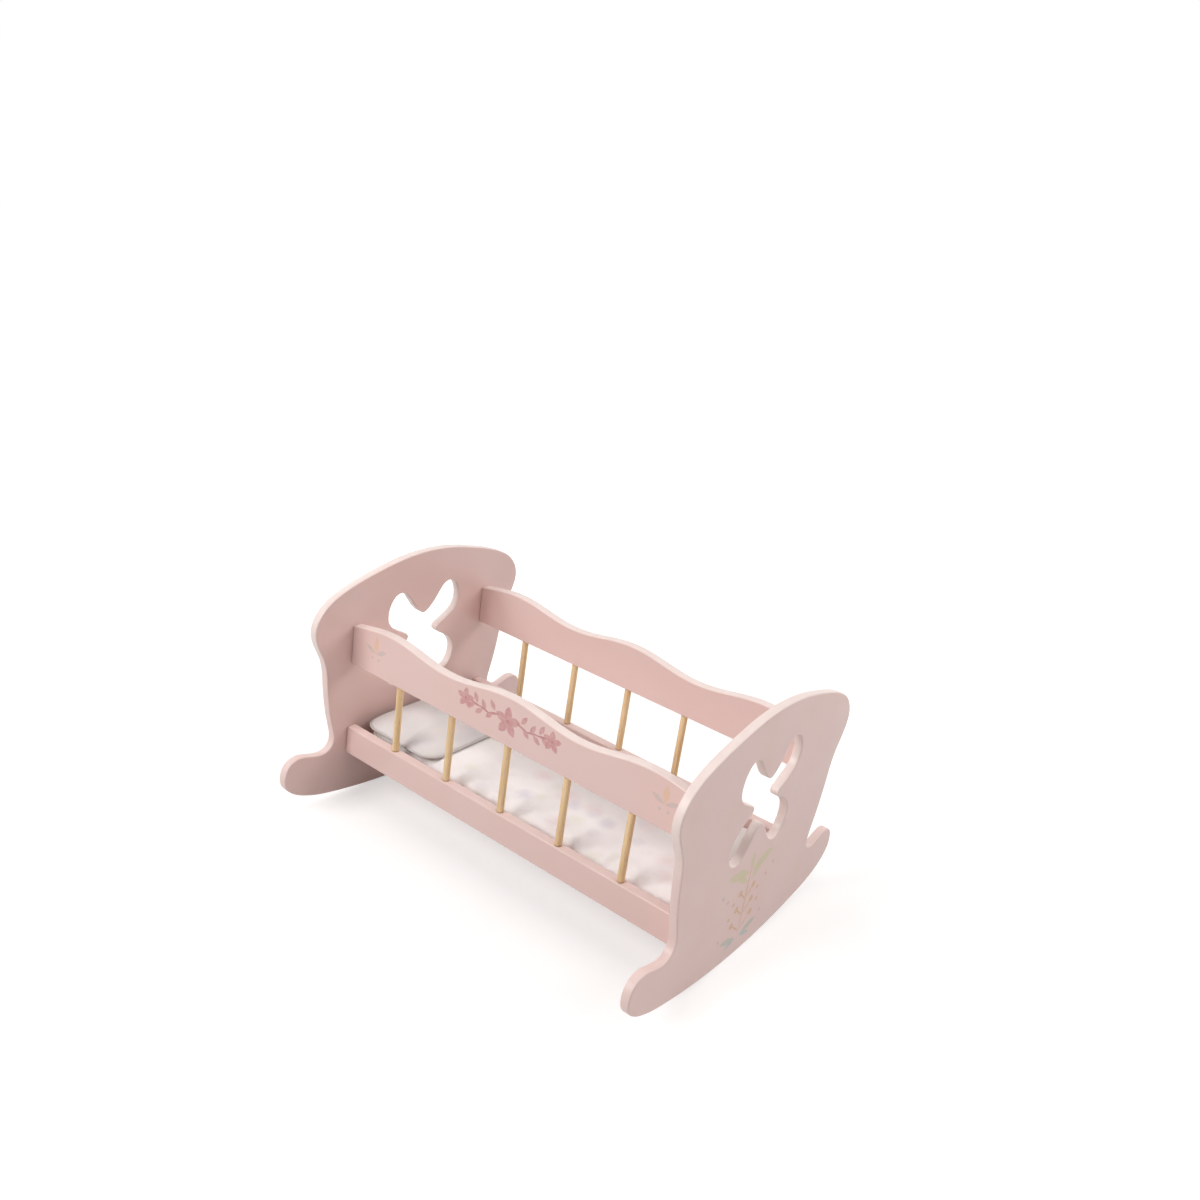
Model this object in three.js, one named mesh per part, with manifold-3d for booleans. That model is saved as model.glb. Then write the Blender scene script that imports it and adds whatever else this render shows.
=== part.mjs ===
// A doll's rocking cradle in painted wood. Two shaped end panels, each cut through with a butterfly and
// standing on a rocker, carry a wavy top rail and a plain bottom rail on either side. Round spindles join
// the rails, a thin base board lies in grooves of the bottom rails, and a mattress and a pillow lie on it.
// Millimetres, +Z up. The origin is on the floor below the middle, +X runs along the cradle to its foot end
// and -Y is its front.
import * as THREE from "three";
import { mergeVertices } from "three/addons/utils/BufferGeometryUtils.js";
import Module from "manifold-3d";

// Overall
const cradleLength = 500;
const fitGap = 0.3; // clearance between pieces that seat on each other
const overrun = 5; // how far a cutter runs past the face that it opens

// End panels
const panelThickness = 10;
const panelHeight = 295;
const panelHalfSpread = 200; // middle to foot tip
const panelEdgeRadius = 1.5;
const rockerRadius = 720;
const rockerReach = 150; // half length of the true arc under each panel
const butterflyHalfWidth = 57.5;
const butterflyHeight = 120;
const butterflyDrop = 46.5; // top of the arch to the wings' highest point

// Rails
const railSpan = 225; // outer face to outer face across the cradle
const railThickness = 12;
const railEdgeRadius = 1.5;
const topRailFoot = 178;
const topRailRise = 50; // foot of the top rail to the middle of its wave
const waveHalfHeight = 5.5;
const waveLength = 180;
const bottomRailFoot = 61;
const bottomRailHeight = 34.5;
const bottomRailCorner = 3;

// Spindles
const spindleDiameter = 8;
const spindlesPerSide = 5;
const spindlePitch = 81.5;
const spindleSeat = 8; // how deep a spindle goes into each rail
const spindleChamfer = 0.8;

// Dowel pins between the rails' ends and the panels
const pinDiameter = 6;
const pinLength = 24;
const pinPanelSeat = 6.5;
const pinChamfer = 0.8;
const topPinLow = 13; // above the top rail's foot
const topPinHigh = 37;
const bottomPinHeight = 21.5; // above the bottom rail's foot

// Base board in its grooves
const boardThickness = 5;
const grooveDepth = 4;
const grooveFoot = 7; // above the bottom rail's foot

// Mattress and pillow
const mattressHeight = 21;
const mattressCrown = 4; // part of its height
const mattressSideGap = 2;
const mattressEndGap = 2.5;
const mattressCorner = 16;
const mattressDrawIn = 2.5;
const mattressSoftEdge = 14; // how far its rounded edge reaches in
const pillowLength = 122; // along the cradle
const pillowWidth = 197;
const pillowHeight = 19;
const pillowEndGap = 4;
const pillowCorner = 16;
const pillowDrawIn = 5;

// Half of an end panel from the middle of its arch down to the foot's tip, as shares of its half spread
// and its height
const panelSideShares = [
  [0, 1], [0.12, 0.9965], [0.24, 0.986], [0.38, 0.966], [0.52, 0.942], [0.66, 0.909], [0.75, 0.873],
  [0.805, 0.83], [0.83, 0.785], [0.822, 0.738], [0.792, 0.692], [0.757, 0.645], [0.737, 0.594],
  [0.726, 0.53], [0.711, 0.458], [0.689, 0.385], [0.667, 0.33], [0.656, 0.29], [0.668, 0.257],
  [0.704, 0.238], [0.76, 0.236], [0.825, 0.247], [0.89, 0.258], [0.947, 0.25], [0.985, 0.225],
  [1, 0.185],
];
// Underside of a foot from its tip back to the end of the rocker's arc, as shares of the way between the two
const footUnderShares = [[0.96, 0.72], [0.83, 0.5], [0.62, 0.305], [0.36, 0.15]];

// Right half of the butterfly from the notch between its upper wings round to the notch between the lower
// ones, as shares of its half width and height
const butterflyShares = [
  [0, 0.715], [0.13, 0.745], [0.28, 0.815], [0.42, 0.905], [0.54, 0.972], [0.68, 1], [0.83, 0.98],
  [0.94, 0.915], [1, 0.825], [0.99, 0.735], [0.905, 0.665], [0.745, 0.61], [0.575, 0.565], [0.44, 0.53],
  [0.405, 0.495], [0.45, 0.457], [0.61, 0.41], [0.78, 0.36], [0.915, 0.29], [0.97, 0.2], [0.945, 0.11],
  [0.85, 0.033], [0.7, 0], [0.53, 0.012], [0.38, 0.078], [0.24, 0.175], [0.11, 0.25], [0, 0.285],
];

// Soft edges, from the lowest ring to the topmost: inset as a share of the soft edge, height as a share
const mattressRingShares = [
  [1, 0], [0.5, 0.02], [0.18, 0.1], [0.03, 0.25], [0, 0.45], [0.06, 0.66], [0.22, 0.84], [0.5, 0.95], [1, 1],
];
// The mattress crown, from its edge inwards: how much of the length is left
const crownKeepShares = [0.75, 0.5, 0.25];
// The pillow swells from its seam: inset as a share of half its length, height as a share of its height
const pillowRingShares = [
  [0.3, 0], [0.12, 0.02], [0.03, 0.07], [0, 0.15], [0.025, 0.29], [0.1, 0.48], [0.22, 0.68], [0.4, 0.85],
  [0.62, 0.95], [0.82, 0.99],
];

// Counts
const edgeSteps = 2;
const outlineSteps = 2;
const rockerFacets = 21; // odd, so that the middle facet is level
const waveSteps = 44;
const spindleSides = 20;
const pinSides = 12;
const padSideSteps = 12;
const padCornerSteps = 4;

// Places that several pieces share
const butterflyFoot = panelHeight - butterflyDrop - butterflyHeight;
const innerHalfLength = cradleLength / 2 - panelThickness;
const railHalfLength = innerHalfLength - fitGap;
const railMiddle = railSpan / 2 - railThickness / 2;
const railInner = railSpan / 2 - railThickness;
const bottomRailTop = bottomRailFoot + bottomRailHeight;
const grooveLow = bottomRailFoot + grooveFoot;
const grooveHigh = grooveLow + boardThickness + 2 * fitGap;
const boardTop = grooveHigh - fitGap;
const pinEnd = innerHalfLength + pinPanelSeat;
const mattressHalfLength = innerHalfLength - mattressEndGap;
const mattressFoot = boardTop + fitGap;
const sides = [["front", -1], ["back", 1]];

const wasm = await Module();
wasm.setup();

const pinkPaint = () => new THREE.MeshStandardMaterial({ color: 0xe0c6c2, roughness: 0.45, metalness: 0 });
const bareWood = () => new THREE.MeshStandardMaterial({ color: 0xe5caa5, roughness: 0.6, metalness: 0 });
const whiteCloth = () => new THREE.MeshStandardMaterial({ color: 0xeee9e6, roughness: 0.95, metalness: 0 });
const greyCloth = () => new THREE.MeshStandardMaterial({ color: 0xe6dfd9, roughness: 0.95, metalness: 0 });

// Closed geometry with shared corners: only positions, and no triangle that has collapsed on a pole
function closed(geometry) {
  geometry.deleteAttribute("normal");
  geometry.deleteAttribute("uv");
  const merged = mergeVertices(geometry);
  const index = merged.index.array;
  const kept = [];
  for (let i = 0; i < index.length; i += 3) {
    const [a, b, c] = [index[i], index[i + 1], index[i + 2]];
    if (a !== b && b !== c && a !== c) kept.push(a, b, c);
  }
  merged.setIndex(kept);
  return merged;
}

function toSolid(geometry) {
  const ready = closed(geometry);
  return new wasm.Manifold(new wasm.Mesh({
    numProp: 3,
    vertProperties: Float32Array.from(ready.attributes.position.array),
    triVerts: Uint32Array.from(ready.index.array),
  }));
}

function toGeometry(solid) {
  const mesh = solid.getMesh();
  const geometry = new THREE.BufferGeometry();
  geometry.setAttribute("position", new THREE.Float32BufferAttribute(mesh.vertProperties, mesh.numProp));
  geometry.setIndex(Array.from(mesh.triVerts));
  geometry.computeVertexNormals();
  return geometry;
}

// Takes every cutter out of a blank
function cut(blank, cutters) {
  let solid = toSolid(blank);
  for (const cutter of cutters) solid = solid.subtract(toSolid(cutter));
  return toGeometry(solid);
}

function named(name, geometry, material) {
  const mesh = new THREE.Mesh(geometry, material);
  mesh.name = name;
  return mesh;
}

// A flat piece cut from a board: its outline keeps its size and its edges are rounded over on both faces
function rounded(outline, holes, thickness, radius) {
  const shape = new THREE.Shape(outline);
  shape.holes = holes.map((points) => new THREE.Path(points));
  const geometry = new THREE.ExtrudeGeometry(shape, {
    depth: thickness - 2 * radius,
    bevelThickness: radius,
    bevelSize: radius,
    bevelOffset: -radius,
    bevelSegments: edgeSteps,
  });
  return geometry.translate(0, 0, radius - thickness / 2);
}

// Turns a piece drawn flat so that it stands across the cradle, its thickness along X
function standAcross(geometry) {
  const axes = [new THREE.Vector3(0, 1, 0), new THREE.Vector3(0, 0, 1), new THREE.Vector3(1, 0, 0)];
  return geometry.applyMatrix4(new THREE.Matrix4().makeBasis(...axes));
}

// Turns a piece drawn flat so that it stands along the cradle, its thickness along Y
function standAlong(geometry) {
  const axes = [new THREE.Vector3(1, 0, 0), new THREE.Vector3(0, 0, 1), new THREE.Vector3(0, -1, 0)];
  return geometry.applyMatrix4(new THREE.Matrix4().makeBasis(...axes));
}

// A smooth line through points, with its corners left out and the ends kept
function smooth(points, ring) {
  const curve = new THREE.CatmullRomCurve3(points.map(([x, y]) => new THREE.Vector3(x, y, 0)), ring);
  const spans = ring ? points.length : points.length - 1;
  const line = curve.getPoints(spans * outlineSteps);
  if (ring) line.pop();
  return line.map((point) => new THREE.Vector2(point.x, point.y));
}

// Mirrors points at the middle line, leaving out those that lie on it
function mirrored(points) {
  return points.filter(([x]) => x > 0).map(([x, y]) => [-x, y]).reverse();
}

// Outline of an end panel: foot, side and arch as one smooth line, closed by the facets of the rocker
function panelOutline() {
  const side = panelSideShares.map(([across, up]) => [across * panelHalfSpread, up * panelHeight]);
  const reachAngle = Math.asin(rockerReach / rockerRadius);
  const rocker = [];
  for (let i = 0; i <= rockerFacets; i += 1) {
    const angle = reachAngle * ((2 * i) / rockerFacets - 1);
    const lowest = Math.cos(reachAngle / rockerFacets);
    rocker.push([rockerRadius * Math.sin(angle), rockerRadius * (lowest - Math.cos(angle))]);
  }
  const [leftEnd, rightEnd] = [rocker[0], rocker[rockerFacets]];
  const tip = side[side.length - 1];
  for (const [acrossShare, upShare] of footUnderShares) {
    const across = rightEnd[0] + acrossShare * (tip[0] - rightEnd[0]);
    side.push([across, rightEnd[1] + upShare * (tip[1] - rightEnd[1])]);
  }
  const upper = smooth([rightEnd, ...side.slice().reverse(), ...mirrored(side).reverse(), leftEnd], false);
  const lower = rocker.slice(1, -1).map(([across, up]) => new THREE.Vector2(across, up));
  return [...upper, ...lower];
}

function butterflyOutline() {
  const half = butterflyShares.map(([across, up]) => {
    return [across * butterflyHalfWidth, butterflyFoot + up * butterflyHeight];
  });
  return smooth([...half, ...mirrored(half)], true);
}

function round(radius, length, sides) {
  return new THREE.CylinderGeometry(radius, radius, length, sides);
}

// Where the pins stand: which side, which rail and how high above the floor
function pinPlaces() {
  return sides.flatMap(([side, sign]) => {
    const y = sign * railMiddle;
    return [
      { rail: `${side}_top_rail`, level: "low", y, z: topRailFoot + topPinLow },
      { rail: `${side}_top_rail`, level: "high", y, z: topRailFoot + topPinHigh },
      { rail: `${side}_bottom_rail`, level: "", y, z: bottomRailFoot + bottomPinHeight },
    ];
  });
}

// Blind holes for the pins at one end of the cradle, in the panel and in the rails alike
function pinHoles(places, end) {
  return places.map(({ y, z }) => {
    const hole = round(pinDiameter / 2 + fitGap, pinLength + 2 * fitGap, pinSides);
    hole.rotateZ(Math.PI / 2);
    return hole.translate(end * (pinEnd - pinLength / 2), y, z);
  });
}

function spindleX() {
  return Array.from({ length: spindlesPerSide }, (_, i) => (i - (spindlesPerSide - 1) / 2) * spindlePitch);
}

// Blind holes along one rail for the spindles' ends, from the height of its face to that of their bottoms
function spindleHoles(y, face, seatEnd) {
  const [low, high] = face < seatEnd ? [face - overrun, seatEnd] : [seatEnd, face + overrun];
  return spindleX().map((x) => {
    const hole = round(spindleDiameter / 2 + fitGap, high - low, spindleSides);
    hole.rotateX(Math.PI / 2);
    return hole.translate(x, y, (low + high) / 2);
  });
}

// All holes of one rail: for the pins at both of its ends and for the spindles along it
function railHoles(name, sign, face, seatEnd) {
  const places = pinPlaces().filter(({ rail }) => rail === name);
  const ends = [...pinHoles(places, 1), ...pinHoles(places, -1)];
  return [...ends, ...spindleHoles(sign * railMiddle, face, seatEnd)];
}

function endPanel(name, end) {
  const blank = standAcross(rounded(panelOutline(), [butterflyOutline()], panelThickness, panelEdgeRadius));
  blank.translate(end * (cradleLength / 2 - panelThickness / 2), 0, 0);
  return named(name, cut(blank, pinHoles(pinPlaces(), end)), pinkPaint());
}

// The top rail's upper edge is a wave with a crest in the middle
function waveTop(x) {
  return topRailFoot + topRailRise + waveHalfHeight * Math.cos((2 * Math.PI * x) / waveLength);
}

function topRail(name, sign) {
  const corners = [[-railHalfLength, topRailFoot], [railHalfLength, topRailFoot]];
  for (let i = 0; i <= waveSteps; i += 1) {
    const x = railHalfLength * (1 - (2 * i) / waveSteps);
    corners.push([x, waveTop(x)]);
  }
  const outline = corners.map(([x, z]) => new THREE.Vector2(x, z));
  const blank = standAlong(rounded(outline, [], railThickness, railEdgeRadius));
  blank.translate(0, sign * railMiddle, 0);
  const seatEnd = topRailFoot + spindleSeat + fitGap;
  return named(name, cut(blank, railHoles(name, sign, topRailFoot, seatEnd)), pinkPaint());
}

// A rounded rectangle in the plane, drawn from its lower left corner onwards
function plate(halfLength, low, high, corner) {
  const shape = new THREE.Shape();
  shape.moveTo(-halfLength + corner, low);
  shape.lineTo(halfLength - corner, low);
  shape.absarc(halfLength - corner, low + corner, corner, -Math.PI / 2, 0);
  shape.lineTo(halfLength, high - corner);
  shape.absarc(halfLength - corner, high - corner, corner, 0, Math.PI / 2);
  shape.lineTo(-halfLength + corner, high);
  shape.absarc(-halfLength + corner, high - corner, corner, Math.PI / 2, Math.PI);
  shape.lineTo(-halfLength, low + corner);
  shape.absarc(-halfLength + corner, low + corner, corner, Math.PI, 1.5 * Math.PI);
  const points = shape.getPoints(edgeSteps);
  points.pop();
  return points;
}

function bottomRail(name, sign) {
  const outline = plate(railHalfLength, bottomRailFoot, bottomRailTop, bottomRailCorner);
  const blank = standAlong(rounded(outline, [], railThickness, railEdgeRadius));
  blank.translate(0, sign * railMiddle, 0);
  const groove = new THREE.BoxGeometry(cradleLength, grooveDepth + overrun, grooveHigh - grooveLow);
  groove.translate(0, sign * (railInner + grooveDepth / 2 - overrun / 2), (grooveLow + grooveHigh) / 2);
  const seatEnd = bottomRailTop - spindleSeat - fitGap;
  return named(name, cut(blank, [groove, ...railHoles(name, sign, bottomRailTop, seatEnd)]), pinkPaint());
}

// A round rod with chamfered ends, standing on the origin
function rod(diameter, length, chamfer, sides) {
  const radius = diameter / 2;
  const profile = [[0, 0], [radius - chamfer, 0], [radius, chamfer], [radius, length - chamfer],
    [radius - chamfer, length], [0, length]];
  const geometry = new THREE.LatheGeometry(profile.map(([x, y]) => new THREE.Vector2(x, y)), sides);
  return closed(geometry.rotateX(Math.PI / 2));
}

function spindles(side, sign) {
  const foot = bottomRailTop - spindleSeat;
  const length = topRailFoot + spindleSeat - foot;
  return spindleX().map((x, i) => {
    const turned = rod(spindleDiameter, length, spindleChamfer, spindleSides);
    const mesh = named(`${side}_spindle_${i + 1}`, turned, bareWood());
    mesh.position.set(x, sign * railMiddle, foot);
    return mesh;
  });
}

function pins(endName, end) {
  return pinPlaces().map(({ rail, level, y, z }) => {
    const name = [rail, endName, level, "pin"].filter((word) => word).join("_");
    const mesh = named(name, rod(pinDiameter, pinLength, pinChamfer, pinSides), bareWood());
    mesh.rotation.y = (end * Math.PI) / 2;
    mesh.position.set(end * (pinEnd - pinLength), y, z);
    return mesh;
  });
}

function baseBoard() {
  const halfWidth = railInner + grooveDepth - fitGap;
  const board = new THREE.BoxGeometry(2 * railHalfLength, 2 * halfWidth, boardThickness);
  const mesh = named("base_board", closed(board), pinkPaint());
  mesh.position.z = boardTop - boardThickness / 2;
  return mesh;
}

// One level line round a pad: a rounded rectangle whose four sides are drawn in towards their middles
function padRing(halfLength, halfWidth, corner, drawIn, z) {
  const ring = [];
  for (let side = 0; side < 4; side += 1) {
    const [along, across] = side % 2 === 0 ? [halfWidth, halfLength] : [halfLength, halfWidth];
    const turn = (side * Math.PI) / 2;
    const [cos, sin] = [Math.cos(turn), Math.sin(turn)];
    const place = (out, on) => ring.push(new THREE.Vector3(out * cos - on * sin, out * sin + on * cos, z));
    for (let i = 0; i < padSideSteps; i += 1) {
      const share = (2 * i) / padSideSteps - 1;
      place(across - drawIn * (1 - share * share), share * (along - corner));
    }
    for (let i = 0; i < padCornerSteps; i += 1) {
      const angle = (i * Math.PI) / (2 * padCornerSteps);
      place(across - corner * (1 - Math.cos(angle)), along - corner * (1 - Math.sin(angle)));
    }
  }
  return ring;
}

// A closed pad from level rings, lowest first, with a middle point below and one above
function padGeometry(rings, top) {
  const around = rings[0].length;
  const points = [new THREE.Vector3(0, 0, rings[0][0].z), ...rings.flat(), new THREE.Vector3(0, 0, top)];
  const last = points.length - 1;
  const index = [];
  for (let i = 0; i < around; i += 1) {
    const next = (i + 1) % around;
    index.push(0, 1 + next, 1 + i);
    for (let k = 0; k < rings.length - 1; k += 1) {
      const [low, high] = [1 + k * around, 1 + (k + 1) * around];
      index.push(low + i, low + next, high + next, low + i, high + next, high + i);
    }
    const rim = 1 + (rings.length - 1) * around;
    index.push(last, rim + i, rim + next);
  }
  const geometry = new THREE.BufferGeometry().setFromPoints(points);
  geometry.setIndex(index);
  geometry.computeVertexNormals();
  return geometry;
}

// Height of the mattress where its crown has shrunk to a share of its length
function crownHeight(keep) {
  return mattressHeight - mattressCrown * keep * keep;
}

function mattress() {
  const halfLength = mattressHalfLength;
  const halfWidth = railInner - mattressSideGap;
  const rings = mattressRingShares.map(([inShare, upShare]) => {
    const inset = inShare * mattressSoftEdge;
    const corner = Math.max(mattressCorner - inset, mattressCorner / 2);
    const z = upShare * crownHeight(1);
    return padRing(halfLength - inset, halfWidth - inset, corner, mattressDrawIn, z);
  });
  for (const keep of crownKeepShares) {
    const length = keep * (halfLength - mattressSoftEdge);
    const width = keep * (halfWidth - mattressSoftEdge);
    const corner = (keep * mattressCorner) / 2;
    rings.push(padRing(length, width, corner, keep * mattressDrawIn, crownHeight(keep)));
  }
  const mesh = named("mattress", padGeometry(rings, mattressHeight), whiteCloth());
  mesh.position.z = mattressFoot;
  return mesh;
}

// The pillow lies flat on the highest point of the crown under it
function pillow() {
  const halfLength = pillowLength / 2;
  const halfWidth = pillowWidth / 2;
  const rings = pillowRingShares.map(([inShare, upShare]) => {
    const keep = 1 - inShare;
    const width = halfWidth - inShare * halfLength;
    const z = upShare * pillowHeight;
    return padRing(keep * halfLength, width, keep * pillowCorner, keep * pillowDrawIn, z);
  });
  const mesh = named("pillow", padGeometry(rings, pillowHeight), greyCloth());
  const middle = -innerHalfLength + pillowEndGap + halfLength;
  const flatEnd = middle + (1 - pillowRingShares[0][0]) * halfLength;
  const seat = crownHeight(-flatEnd / (mattressHalfLength - mattressSoftEdge));
  mesh.position.set(middle, 0, mattressFoot + seat + fitGap);
  return mesh;
}

const cradle = new THREE.Group();
cradle.add(endPanel("head_panel", -1), endPanel("foot_panel", 1));
for (const [side, sign] of sides) {
  cradle.add(topRail(`${side}_top_rail`, sign), bottomRail(`${side}_bottom_rail`, sign));
  cradle.add(...spindles(side, sign));
}
cradle.add(...pins("head", -1), ...pins("foot", 1), baseBoard(), mattress(), pillow());

export default cradle;
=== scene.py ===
import math

import bpy
import numpy as np
from mathutils import Matrix, Vector
from mathutils.geometry import tessellate_polygon

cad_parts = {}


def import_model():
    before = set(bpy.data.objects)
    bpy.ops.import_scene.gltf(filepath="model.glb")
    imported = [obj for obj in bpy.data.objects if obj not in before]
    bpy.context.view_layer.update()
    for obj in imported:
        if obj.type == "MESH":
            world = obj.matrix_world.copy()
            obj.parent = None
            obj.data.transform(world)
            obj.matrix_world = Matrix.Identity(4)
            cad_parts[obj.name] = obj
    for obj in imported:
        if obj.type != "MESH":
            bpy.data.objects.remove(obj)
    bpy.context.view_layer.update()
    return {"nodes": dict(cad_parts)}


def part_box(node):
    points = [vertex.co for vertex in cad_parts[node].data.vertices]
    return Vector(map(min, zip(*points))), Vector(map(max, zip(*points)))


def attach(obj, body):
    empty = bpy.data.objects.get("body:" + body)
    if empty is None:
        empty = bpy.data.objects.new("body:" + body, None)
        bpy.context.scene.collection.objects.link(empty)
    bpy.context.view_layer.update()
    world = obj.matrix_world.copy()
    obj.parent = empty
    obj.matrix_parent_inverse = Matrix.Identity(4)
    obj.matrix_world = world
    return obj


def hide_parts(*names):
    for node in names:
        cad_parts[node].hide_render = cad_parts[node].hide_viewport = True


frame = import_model()

# A toy rocking cradle. The boards, rods and cloth are worked out here at the places of the
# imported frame's nodes, in metres: +X along the cradle to its foot end, -Y its front, +Z up.
MM = 0.001

# Boards
PANEL_EDGE = 1.5 * MM
RAIL_EDGE = 1.5 * MM
BASE_EDGE = 0.6 * MM
CORNER = 1.0 * MM
RAIL_CORNER = 2.5 * MM
CORNER_STEPS = 4
ROUND_STEPS = 5
OUTLINE_STEPS = 7
ROCKER_RADIUS = 720 * MM
ROCKER_REACH = 150 * MM
ROCKER_STEPS = 90
WAVE_LENGTH = 180 * MM
WAVE_HALF_HEIGHT = 5.5 * MM
WAVE_STEPS = 220
BUTTERFLY_HALF_WIDTH = 57.5 * MM
BUTTERFLY_HEIGHT = 120 * MM
BUTTERFLY_DROP = 46.5 * MM

# Outline of an end panel's half, from the middle of the arch to the foot's tip:
# shares of half spread and height
PANEL_SIDE_SHARES = [
    [0, 1], [0.12, 0.9965], [0.24, 0.986], [0.38, 0.966], [0.52, 0.942], [0.66, 0.909],
    [0.75, 0.873], [0.805, 0.83], [0.83, 0.785], [0.822, 0.738], [0.792, 0.692], [0.757, 0.645],
    [0.737, 0.594], [0.726, 0.53], [0.711, 0.458], [0.689, 0.385], [0.667, 0.33], [0.656, 0.29],
    [0.668, 0.257], [0.704, 0.238], [0.76, 0.236], [0.825, 0.247], [0.89, 0.258], [0.947, 0.25],
    [0.985, 0.225], [1, 0.185],
]
# Underside of a foot from its tip back to the rocker's arc: shares of the way between the two
FOOT_UNDER_SHARES = [[0.96, 0.72], [0.83, 0.5], [0.62, 0.305], [0.36, 0.15]]
# Right half of the butterfly, from the upper notch round to the lower one:
# shares of half width and height
BUTTERFLY_SHARES = [
    [0, 0.715], [0.13, 0.745], [0.28, 0.815], [0.42, 0.905], [0.54, 0.972], [0.68, 1],
    [0.83, 0.98], [0.94, 0.915], [1, 0.825], [0.99, 0.735], [0.905, 0.665], [0.745, 0.61],
    [0.575, 0.565], [0.44, 0.53], [0.405, 0.495], [0.45, 0.457], [0.61, 0.41], [0.78, 0.36],
    [0.915, 0.29], [0.97, 0.2], [0.945, 0.11], [0.85, 0.033], [0.7, 0], [0.53, 0.012],
    [0.38, 0.078], [0.24, 0.175], [0.11, 0.25], [0, 0.285],
]

# Rods
ROD_SIDES = 40
ROD_SHOULDER = 0.8 * MM

# Cloth. The seam's hold and the piping's cling count in squares of the cloth
CLOTH_FRAMES = 20
CLOTH_PRESSURE = 4.0
SEAM_HOLD = 2.5
PAD_CORNER = 16 * MM
PAD_SIDES = 160
PIPING_CLING = 1.2
PIPING_RADIUS = 1.3 * MM
PIPING_STAND = 1.5 * MM
PIPING_SIDES = 10
# A pad's cloth: side of its squares, share that it may grow, farthest that it may swell
MATTRESS_CLOTH = (4.0 * MM, 0.03, 4 * MM)
PILLOW_CLOTH = (3.0 * MM, 0.0, 3 * MM)
MATTRESS_DRAW_IN = 2.5 * MM
MATTRESS_ROOM = 2.5 * MM
MATTRESS_SIDE = 11 * MM
MATTRESS_SIDE_RINGS = 15
MATTRESS_SEAM_SHARE = 0.45
MATTRESS_SIDE_RISE_SHARE = 0.36
MATTRESS_CROWN_SHARES = (0.2, 0.5, 0.85)
MATTRESS_CROWN_REACH_SHARE = 0.9
MATTRESS_CROWN_FOOT_SHARE = 0.81
MATTRESS_CROWN_RISE_SHARE = 0.17
PILLOW_DRAW_IN = 3 * MM
# The pillow's rings from below: share of half its length that each stands in, share of thickness
PILLOW_RINGS = (
    (0.3, 0.01), (0.12, 0.03), (0.04, 0.08), (0.015, 0.16), (0.04, 0.28), (0.12, 0.44),
    (0.25, 0.6), (0.43, 0.74), (0.68, 0.84),
)
PILLOW_SEAM_RING = 3

# Painted highlight on the paint's edges and walls, standing in for light from above: it grows from
# one height to the other, and it is full round the cut-out, within so far of the middle, and gone
# from there to its end
HIGHLIGHT_FROM = 150 * MM
HIGHLIGHT_FULLY = 225 * MM
CUT_OUT_REACH = 60 * MM
CUT_OUT_END = 70 * MM

# Ornaments: depth of the printed faces, share of a stroke over which its ink fades out, and
# places on a top rail in millimetres
INK_DEPTH = 0.05 * MM
INK_FADE = 0.22
GARLAND_RISE = 28
SPRIG_RISE = 27
SPRIG_ACROSS = 200

# Camera, from the photograph: degrees, metres, and pixels of its 1200-pixel frame
IMAGE_SIDE = 1200
FOCAL_PIXELS = 1140.1
VIEW_AZIMUTH = 34.74
VIEW_ELEVATION = 21.51
VIEW_ROLL = -8.53
VIEW_DISTANCE = 1.23805
VIEW_TARGET = (0, 0.02035, 0.31178)
SENSOR_WIDTH = 36.0

# Light and floor
WORLD_STRENGTH = 0.06
WORLD_WARM = (1.0, 0.985, 0.97, 1.0)
FLOOR_HALF = 6.0
FLOOR_GLOW = 0.5
GLOW_START = 0.5
GLOW_END = 1.6
LAMP_WARM = (1.0, 0.99, 0.98)
# Each lamp: its place, the place that it faces, its width, its power in watts and its colour
LAMPS = {
    "key": ((-0.9, -2.5, 1.9), (0, 0, 0.1), 1.6, 65, LAMP_WARM),
    "left": ((-3.2, 0.4, 1.6), (0, 0, 0.1), 2.0, 29, LAMP_WARM),
    "right": ((4.4, -0.4, 2.8), (0, 0, 0.15), 3.0, 37, LAMP_WARM),
    "back": ((2.6, 3.4, 3.0), (0, 0, 0.1), 3.0, 126, LAMP_WARM),
    "top": ((0.1, 0.0, 2.6), (0, 0, 0.1), 2.0, 18, (1.0, 1.0, 0.99)),
}


def linear(red, green, blue):
    """A colour written as on a screen, 0 to 255, as the linear values that shaders take."""
    shares = np.array([red, green, blue]) / 255
    low = shares / 12.92
    high = ((shares + 0.055) / 1.055) ** 2.4
    return (*np.where(shares <= 0.04045, low, high).tolist(), 1.0)


PINK = linear(228, 198, 193)
PINK_WARM = linear(227, 195, 188)
# Painted highlight: the paler pink laid over edges and walls, for light from above
PINK_HIGHLIGHT = linear(240, 224, 218)
BEECH = linear(240, 210, 164)
BEECH_DARK = linear(223, 188, 141)
BEECH_FLECK = linear(150, 108, 68)
# Painted contact shade, where a rod enters a rail
BEECH_CONTACT_SHADE = linear(140, 96, 62)
COTTON = linear(244, 239, 238)
COTTON_SHADE = linear(235, 229, 229)
LINEN = linear(225, 220, 219)
LINEN_SHADE = linear(209, 205, 204)
# Grey of the pillow's piping, darker than its cloth partly as painted shade for the shadow line
# along the pillow's lower edge
PIPING = linear(196, 189, 186)
OCHRE = linear(212, 166, 120)
OCHRE_PALE = linear(226, 188, 158)
LEAF_YELLOW = linear(206, 196, 154)
LEAF_PALE = linear(224, 222, 200)
SAGE = linear(182, 186, 172)
SAGE_BLUE = linear(176, 186, 190)
SAGE_PALE = linear(204, 186, 180)
LILAC = linear(190, 170, 186)
LILAC_PALE = linear(208, 202, 216)
BLOSSOM = linear(216, 156, 152)
BLOSSOM_PALE = linear(233, 208, 208)
ROSE = linear(198, 138, 138)
ROSE_DEEP = linear(184, 118, 122)
FLOOR_PALE = linear(214, 213, 212)
FLOOR_GREY = linear(210, 209, 208)
WHITE = (1.0, 1.0, 1.0, 1.0)


# Outlines

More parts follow.
